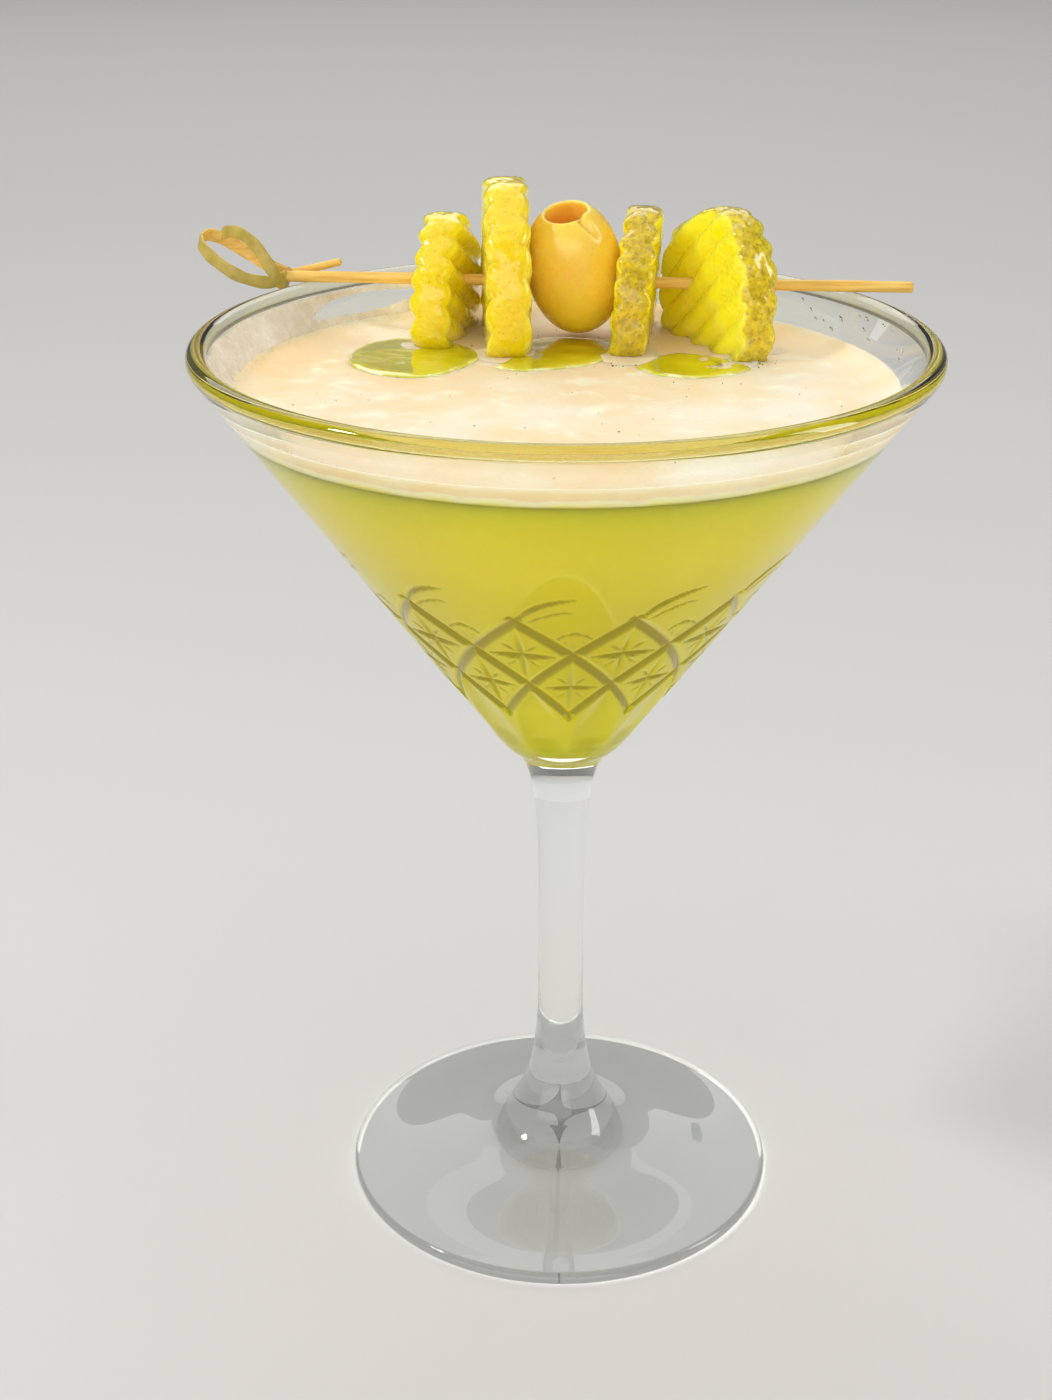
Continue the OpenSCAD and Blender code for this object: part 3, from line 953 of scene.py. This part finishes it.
def olive_mesh():
    """A pitted olive: the skin from its lower end up to the hole, over the hole's lip and down inside."""
    profile = []
    lip = 0.55
    for angle in np.linspace(-90, 90, 70):
        t = math.radians(angle)
        full = (abs(math.cos(t)) ** OLIVE_SQUARE + abs(math.sin(t)) ** OLIVE_SQUARE) ** (-1 / OLIVE_SQUARE)
        r = OLIVE_R * math.cos(t) * full
        if angle > 0 and r < PIT_R + lip:
            break
        profile.append((max(r, 0.0), OLIVE_HALF * math.sin(t) * full))
    top = profile[-1][1] + 0.05
    profile += [
        (PIT_R + lip * (1 - math.sin(math.radians(b))), top + lip * math.cos(math.radians(b)) * 0.6)
        for b in (10, 30, 50, 70, 90)
    ]
    bottom = OLIVE_HALF - PIT_DEPTH
    profile += [(PIT_R, z) for z in np.linspace(top - 0.2, bottom, 12)]
    profile += [
        (PIT_R * math.cos(math.radians(b)), bottom - PIT_R * math.sin(math.radians(b)))
        for b in (15, 30, 45, 60, 75, 90)
    ]
    profile[-1] = (0.0, profile[-1][1])
    verts, faces = lathe(profile, 144)
    verts = np.array(verts)
    turn = np.degrees(np.arctan2(verts[:, 0], -verts[:, 1]))
    r = np.hypot(verts[:, 0], verts[:, 1])
    # a fold runs from the hole's edge down the skin, on the right of the front
    down = np.clip((top + 0.4 - verts[:, 2]) / 3.6, 0, 1)
    off = np.abs(turn - 34 - 16 * down) * np.pi / 180 * r
    outside = r > PIT_R + 0.1
    fold = np.where(outside, np.clip(1 - off / 0.75, 0, 1) * (1 - down) ** 0.8, 0)
    verts[:, 2] -= 1.1 * fold
    verts[:, :2] *= (1 - 0.1 * fold)[:, None]
    # its right bank stands up and curls over
    past = (turn - 47 - 16 * down) * np.pi / 180 * r - 0.6
    bank = np.where(outside, np.exp(-((past / 1.2) ** 2)) * (1 - down), 0)
    verts[:, 2] += 0.35 * bank
    skin = rough(verts, 0.16, 60) * 0.22 + rough(verts, 0.5, 61) * 0.05
    verts[:, :2] *= (1 + skin / np.maximum(r, 2.0))[:, None]
    inside = np.clip(((PIT_R + 0.3) - r) / 0.3, 0, 1) * (verts[:, 2] > bottom - PIT_R - 0.1)
    tilt = [math.radians(d) for d in OLIVE_TILT]
    matrix = Matrix.Rotation(tilt[1], 3, "Y") @ Matrix.Rotation(tilt[0], 3, "X")
    return verts @ np.array(matrix).T + OLIVE_POS, faces, inside


def build_olive(mat):
    verts, faces, inside = olive_mesh()
    obj = piece("olive_body", verts, faces, mat, inside=inside)
    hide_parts("olive")


def through(points, n):
    """A smooth run through given points, with n steps between each pair."""
    p = [np.array(q, float) for q in points]
    run = []
    for i in range(len(p) - 1):
        a, b, c, d = p[max(i - 1, 0)], p[i], p[i + 1], p[min(i + 2, len(p) - 1)]
        for k in range(n):
            t = k / n
            run.append(
                b + t / 2 * (c - a) + t * t / 2 * (2 * a - 5 * b + 4 * c - d)
                + t**3 / 2 * (3 * b - a - 3 * c + d)
            )
    run.append(p[-1])
    return np.array(run)


def strip_mesh(points):
    """A split strip on edge along a path, with rounded corners and blunt ends."""
    path = through(points, 9)
    along = np.gradient(path, axis=0)
    along /= np.linalg.norm(along, axis=1)[:, None]
    side = np.cross(along, [0.25, 0.1, 1])
    side /= np.linalg.norm(side, axis=1)[:, None]
    up = np.cross(side, along)
    count = 16
    a = np.linspace(0, 2 * math.pi, count, endpoint=False)
    flat_x = np.sign(np.cos(a)) * np.abs(np.cos(a)) ** 0.55
    flat_y = np.sign(np.sin(a)) * np.abs(np.sin(a)) ** 0.3
    verts = []
    outer = []
    for i, q in enumerate(path):
        grow = 1 + 0.06 * math.sin(i * 0.7)
        across = side[i] * STRIP_THICK / 2
        upward = up[i] * STRIP_WIDTH / 2 * grow
        verts.extend(q + across * x + upward * y for x, y in zip(flat_x, flat_y))
        outer.extend(0.5 - 0.5 * flat_x)
    return verts, tube(len(path), count), outer


def rod_mesh(start, end, radius, rings, blunt):
    """A round stick with slightly uneven, rounded ends."""
    start = np.array(start, float)
    end = np.array(end, float)
    along = (end - start) / np.linalg.norm(end - start)
    side = np.cross(along, [0, 0, 1])
    side /= np.linalg.norm(side)
    up = np.cross(side, along)
    length = np.linalg.norm(end - start)
    count = 28
    a = np.linspace(0, 2 * math.pi, count, endpoint=False)
    ends = np.array([0, 0.12, 0.4])
    places = np.concatenate([ends, np.linspace(0.9, length - 0.9, rings), length - ends[::-1]])
    verts = []
    for x in places:
        gap = min(x, length - x)
        r = radius * (1 - blunt * max(0.0, 1 - gap / 0.4) ** 2)
        facets = r * (1 + 0.025 * np.cos(5 * a + 0.02 * x) + 0.015 * np.cos(9 * a))
        facets *= 1 + 0.02 * math.sin(x * 0.35)
        ring = side * (facets * np.cos(a))[:, None] + up * (facets * np.sin(a))[:, None]
        verts.extend((start + along * x + ring).tolist())
    return verts, tube(len(places), count)


# The split strips that make the knot, and the places along their loops
STRIP_WIDTH = 2.1
STRIP_THICK = 0.6
NEAR_LOOP = [
    (-47.2, 35.6, 153), (-50, 33.4, 152.4), (-54.5, 32, 153.7), (-58.7, 33, 156.1), (-61.6, 36, 158.4),
    (-60.6, 39.2, 159.2), (-57.4, 40, 157.8), (-53, 38.9, 155.5), (-49.5, 37.2, 153.8), (-46.8, 36, 153.2),
]
FAR_LOOP = [
    (-47.2, 36.6, 151.9), (-48, 34.6, 152), (-49.4, 33.7, 154.3), (-51.8, 34.3, 158), (-54.6, 36.2, 159.9),
    (-57.4, 38.8, 159.8), (-58.6, 41.2, 158.4), (-55.8, 42.2, 156.2), (-51.5, 40.4, 154.2),
    (-47.2, 36.6, 153.3),
]
TAIL = [(-47.4, 36.4, 153.2), (-38.2, 38.5, 154.9)]
TAIL_R = 0.65


def build_pick(mat):
    rise = math.tan(-PICK_TURN)
    left = (PICK_LEFT, PICK_Y - PICK_LEFT * rise, PICK_Z)
    right = (PICK_RIGHT, PICK_Y - PICK_RIGHT * rise, PICK_Z)
    shaft, shaft_faces = rod_mesh(left, right, PICK_R, 90, 0.3)
    tail, tail_faces = rod_mesh(*TAIL, TAIL_R, 14, 0.45)
    # the attribute is 1 on the green outside of the cane, and 0 on its pale wood
    parts = [
        (shaft, shaft_faces, [0.0] * len(shaft)),
        strip_mesh(NEAR_LOOP),
        strip_mesh(FAR_LOOP),
        (tail, tail_faces, [0.3] * len(tail)),
    ]
    verts, faces, outer = gather(parts)
    obj = piece("pick_stick", verts, faces, mat, sharp=50, outer=outer)
    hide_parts("pick")


# ---------------------------------------------------------------- liquid on the foam, bubbles and grains


def puddle_mesh(outline, height, seed, ragged):
    """A shallow pool with a rounded edge inside a closed outline of places on the foam."""
    ring = through(list(outline) + [outline[0]], 12)[:-1]
    ring = np.column_stack([ring, np.zeros(len(ring))])
    middle = ring.mean(axis=0)
    ring += (ring - middle) * (ragged * (rough(ring, 0.45, seed) + 0.6 * rough(ring, 1.3, seed + 1)))[:, None]
    count = len(ring)
    verts = []
    levels = [(1.0, -0.5), (1.0, 0.0), (0.985, 0.45), (0.96, 0.75), (0.92, 0.92), (0.85, 1.0)]
    levels += [(t, 1.0) for t in np.linspace(0.75, 0.08, 10)]
    edge = []
    for t, h in levels:
        q = middle + (ring - middle) * t
        uneven = 0.25 * rough(q, 0.25, seed) if h > 0.9 else 0
        z = FOAM_Z + 0.06 + foam_swell(q) + height * (h + uneven)
        verts.extend(np.column_stack([q[:, :2], z]).tolist())
        edge.extend([1 - t] * count)
    return verts, tube(len(levels), count), edge


# The puddles' outlines, as places seen from above
PUDDLES = [
    [
        (-34.8, 14.2), (-35.3, 20.5), (-33.9, 25.7), (-31.2, 29.7), (-26.5, 31.5), (-18.5, 28), (-14, 20),
        (-16.5, 12.9), (-19.9, 8.2), (-24.6, 6.5), (-30.8, 8.8),
    ],
    [
        (-11.2, 12.8), (-8.6, 19), (-6.8, 28), (-3.5, 32.3), (4.1, 31.5), (8.3, 27.1), (7.9, 20.6),
        (4.4, 15.4), (-0.8, 12.2), (-7.2, 10.8),
    ],
    [
        (11.5, 13.2), (13.5, 18.5), (18.5, 21.8), (23.5, 20.3), (28.2, 16.2), (29.6, 12.3), (26.2, 8.9),
        (21.3, 6.9), (15, 8.1),
    ],
]
PUDDLE_DEPTH = 0.32
# Mounds of foam that lie against the slices and over the liquid: outline and height
MOUNDS = [
    ([(5.8, 25), (5.4, 19.5), (6.8, 16.2), (9.2, 14.4), (13, 14.8), (15, 18), (14, 25)], 0.35),
    ([(-15.2, 22), (-14.2, 17.6), (-10.5, 15.2), (-6.2, 15.8), (-4.6, 19.5), (-6, 25)], 0.3),
    ([(-28.2, 29), (-27.2, 24.6), (-24.6, 22.4), (-21.4, 22), (-18.6, 25), (-20, 30)], 0.3),
    ([(20.6, 17.8), (21.6, 12.6), (25.4, 11.4), (29.6, 13.6), (31.6, 18.2), (31.4, 24), (27, 22.5)], 0.3),
    ([(30.6, 26.8), (30.2, 23.6), (32.2, 21.8), (35.2, 22.6), (36.4, 25.2), (34, 26.6)], 0.25),
]


def build_puddles(mat):
    pools = [puddle_mesh(outline, PUDDLE_DEPTH, 70 + k, 0.03) for k, outline in enumerate(PUDDLES)]
    verts, faces, edge = gather(pools)
    obj = piece("puddles", verts, faces, mat, sharp=60, edge=edge)


def build_mounds(mat):
    mounds = [puddle_mesh(outline, height, 90 + k, 0.09) for k, (outline, height) in enumerate(MOUNDS)]
    verts, faces, _ = gather(mounds)
    obj = piece("foam_mounds", verts, faces, mat, sharp=60)


def build_drops(mat):
    """Clear drops left on the inside of the wall at the back and the right."""
    drops = []
    for _ in range(30):
        turn = math.radians(RNG.uniform(95, 168))
        z = RNG.uniform(FOAM_EDGE_Z + 1.0, LIP_C[1] - 0.8)
        size = RNG.uniform(0.2, 0.55)
        verts, faces = ball((0, 0, 0), (size, 0.32 * size, size * RNG.uniform(1.0, 1.9)), 12, 8)
        lean = Matrix.Rotation(turn + math.pi, 3, "Z") @ Matrix.Rotation(CONE, 3, "X")
        r = inner_r(z) + 0.02
        drops.append((verts @ np.array(lean).T + (r * math.sin(turn), -r * math.cos(turn), z), faces, []))
    verts, faces, _ = gather(drops)
    obj = piece("wall_drops", verts, faces, mat)


def ball(centre, radii, around=14, up=8):
    """Points and faces of a small squashed sphere."""
    verts = [(0, 0, -1)]
    for i in range(1, up):
        t = math.pi * i / up - math.pi / 2
        for j in range(around):
            b = 2 * math.pi * j / around
            verts.append((math.cos(t) * math.cos(b), math.cos(t) * math.sin(b), math.sin(t)))
    verts.append((0, 0, 1))
    faces = [(0, 1 + (j + 1) % around, 1 + j) for j in range(around)]
    for i in range(up - 2):
        for j in range(around):
            a, b = 1 + i * around, 1 + (i + 1) * around
            k = (j + 1) % around
            faces.append((a + j, a + k, b + k, b + j))
    last = len(verts) - 1
    faces += [(last, last - around + j, last - around + (j + 1) % around) for j in range(around)]
    return np.array(verts) * radii + centre, faces


# Clusters at the feet of the slices: x, y, spread and how many
BUBBLE_CLUSTERS = [
    (9.5, 18.5, 2.2, 20), (13.5, 19.0, 1.6, 12), (25, 14.6, 4.5, 60), (29.5, 18.5, 2.4, 30),
    (-8.5, 18.6, 4.0, 30), (-22.5, 24.0, 3.2, 16), (31.5, 22, 1.6, 12),
]
GRAIN_CLUSTERS = [(9.5, 16.2, 4.5, 22), (25, 14.2, 6.0, 34), (29.5, 17, 3.0, 20), (-8.5, 18.0, 4.5, 14)]


def scatter(clusters, flat, smallest, largest):
    """Places and sizes about each cluster; flat is how far they spread in y beside how far in x."""
    return [
        (x + RNG.normal() * spread * 0.5, y + RNG.normal() * spread * flat, RNG.uniform(smallest, largest))
        for x, y, spread, count in clusters
        for _ in range(count)
    ]


def build_bubbles(mat):
    """Clear bubbles that gather round the feet of the slices and along the wall."""
    spots = scatter(BUBBLE_CLUSTERS, 0.35, 0.12, 0.42)
    for _ in range(170):
        turn = math.radians(RNG.uniform(140, 330))
        r = inner_r(FOAM_EDGE_Z) - abs(RNG.normal()) * 0.7 - 0.25
        spots.append((r * math.sin(turn), -r * math.cos(turn), RNG.uniform(0.08, 0.2)))
    bubbles = []
    for x, y, r in spots:
        z = foam_level(math.hypot(x, y)) + 0.12 + r * 0.2
        bubbles.append((*ball((x, y, z), (r, r, r * 0.8)), []))
    verts, faces, _ = gather(bubbles)
    obj = piece("bubbles", verts, faces, mat)


def build_grains(mat):
    """Dark grains of spice at the slices' feet and, more thinly, over the foam."""
    spots = scatter(GRAIN_CLUSTERS, 0.3, 0.07, 0.17)
    for _ in range(70):
        r = 44 * math.sqrt(RNG.uniform())
        t = RNG.uniform(0, 2 * math.pi)
        spots.append((r * math.cos(t), r * math.sin(t), RNG.uniform(0.05, 0.11)))
    grains = []
    for x, y, r in spots:
        grains.append((*ball((x, y, FOAM_Z + 0.16), (r * RNG.uniform(0.8, 1.6), r, r * 0.8), 7, 4), []))
    verts, faces, _ = gather(grains)
    piece("grains", verts, faces, mat)


def film_cover(turn, z):
    """How much of the film is there, from 0 to 1: it ends at both sides, short of the rim, and has a gap."""
    wobble = noise.noise(Vector((turn * 0.09, z * 0.3, 1.0)))
    sides = min(turn - 181 + 6 * wobble, 288 + 5 * wobble - turn) / 4
    top = (LIP_C[1] - 0.3 - 0.8 * abs(wobble) - z) / 0.4
    from_gap = ((turn - 221) / 12) ** 2 + ((z - 147.6 + 0.03 * (turn - 221)) / 1.3) ** 2
    gap = (from_gap - 1 + 0.5 * noise.noise(Vector((turn * 0.2, z * 0.5, 9)))) * 3
    return max(0.0, min(1.0, sides, top, gap))


def build_film(mat):
    """The thin film that the drink left on the wall above it, at the back and the left."""
    turns = np.arange(176, 293, 0.6)
    heights = np.linspace(FOAM_EDGE_Z - 0.3, LIP_C[1] - 0.1, 34)
    verts, cover = [], []
    for layer in (0, 1):
        for turn in turns:
            t = math.radians(turn)
            for z in heights:
                uneven = noise.noise(Vector((turn * 0.3, z * 0.8, 4)))
                r = inner_r(z) - (0.12 + 0.05 * uneven if layer else 0.02)
                verts.append((r * math.sin(t), -r * math.cos(t), z))
                cover.append(film_cover(turn, z))
    rows, count = len(heights), len(turns)
    faces = []
    for layer in (0, 1):
        for i in range(count - 1):
            for j in range(rows - 1):
                a = (layer * count + i) * rows + j
                quad = [a, a + rows, a + rows + 1, a + 1]
                faces.append(quad[::-1] if layer else quad)
    rim = [(i, 0) for i in range(count)] + [(count - 1, j) for j in range(1, rows)]
    rim += [(i, rows - 1) for i in range(count - 2, -1, -1)] + [(0, j) for j in range(rows - 2, 0, -1)]
    for a, b in zip(rim, rim[1:] + rim[:1]):
        a0, b0 = a[0] * rows + a[1], b[0] * rows + b[1]
        faces.append((b0, a0, a0 + rows * count, b0 + rows * count))
    obj = piece("foam_film", verts, faces, mat, cover=cover)


# ---------------------------------------------------------------- stage, lights, camera


def build_stage():
    bpy.ops.mesh.primitive_plane_add(size=12, location=(0, 0, 0))
    floor = bpy.context.object
    floor.name = "floor"
    paint = Nodes("floor_paint")
    paint.set(Base_Color=(0.62, 0.615, 0.6, 1.0), Roughness=0.6)
    floor.data.materials.append(paint.mat)


def area(name, place, target, size, power, colour):
    light = bpy.data.lights.new(name, "AREA")
    light.shape = "RECTANGLE"
    light.size, light.size_y = size
    light.energy = power
    light.color = colour
    obj = bpy.data.objects.new(name, light)
    bpy.context.scene.collection.objects.link(obj)
    obj.location = place
    obj.rotation_euler = (Vector(target) - Vector(place)).to_track_quat("-Z", "Y").to_euler()


def build_lights():
    area("overhead", (0, 0.2, 1.6), (0, 0.1, 0), (2.0, 2.0), 10, (1.0, 0.99, 0.97))
    area("back", (-0.3, 1.9, 1.7), (0, 0.5, 0), (3.2, 1.6), 26, (1.0, 0.99, 0.98))
    area("front", (-0.3, -1.3, 0.42), (0, 0, 0.1), (2.4, 0.8), 11, (1.0, 0.99, 0.97))
    area("key", (-0.55, -0.1, 0.65), (0, 0, 0.14), (0.09, 0.09), 2.2, (1.0, 0.98, 0.94))
    area("side", (0.75, -0.1, 0.45), (0, 0, 0.14), (0.2, 0.5), 2.2, (1.0, 0.99, 0.97))
    world = bpy.data.worlds.new("studio")
    bpy.context.scene.world = world
    world.use_nodes = True
    world.node_tree.nodes["Background"].inputs["Color"].default_value = (0.95, 0.97, 1.0, 1)
    world.node_tree.nodes["Background"].inputs["Strength"].default_value = 0.2


def build_camera():
    """The view a guest has of the drink: from a little above the rim, looking down at 24 degrees."""
    data = bpy.data.cameras.new("camera")
    data.sensor_width = 36
    data.lens = 54.02
    data.clip_start = 0.01
    cam = bpy.data.objects.new("camera", data)
    bpy.context.scene.collection.objects.link(cam)
    pitch, yaw = 0.4192, -0.0191
    ahead = Vector((math.sin(yaw) * math.cos(pitch), math.cos(yaw) * math.cos(pitch), -math.sin(pitch)))
    cam.location = (0, -0.3176, 0.2322)
    cam.rotation_euler = ahead.to_track_quat("-Z", "Y").to_euler()
    bpy.context.scene.camera = cam


build_camera()
build_stage()
build_lights()
glass = glass_material()
build_glass(glass)
build_drink(drink_material())
foam = foam_material()
build_foam(foam)
# dark skin, skin, rind and flesh of each slice, left to right
pickle_colours = {
    "pickle_a": ((0.86, 0.63, 0.002), (0.92, 0.7, 0.003), (0.98, 0.79, 0.04), (1.0, 0.8, 0.002)),
    "pickle_b": ((0.84, 0.6, 0.002), (0.91, 0.68, 0.003), (0.98, 0.8, 0.12), (1.0, 0.79, 0.002)),
    "pickle_c": ((0.38, 0.29, 0.002), (0.7, 0.53, 0.003), (1.0, 0.82, 0.04), (1.0, 0.78, 0.002)),
    "pickle_d": ((0.42, 0.33, 0.002), (0.76, 0.6, 0.005), (1.0, 0.84, 0.06), (1.0, 0.82, 0.002)),
}
build_slices([pickle_material(name, *colours) for name, colours in pickle_colours.items()])
build_olive(olive_material())
build_pick(bamboo_material())
build_puddles(puddle_material())
build_mounds(foam)
build_drops(glass)
build_bubbles(bubble_material())
build_grains(grain_material())
build_film(film_material())

scene = bpy.context.scene
scene.cycles.use_denoising = True
scene.cycles.max_bounces = 24
scene.cycles.transmission_bounces = 24
scene.cycles.transparent_max_bounces = 24
scene.view_settings.view_transform = "Standard"
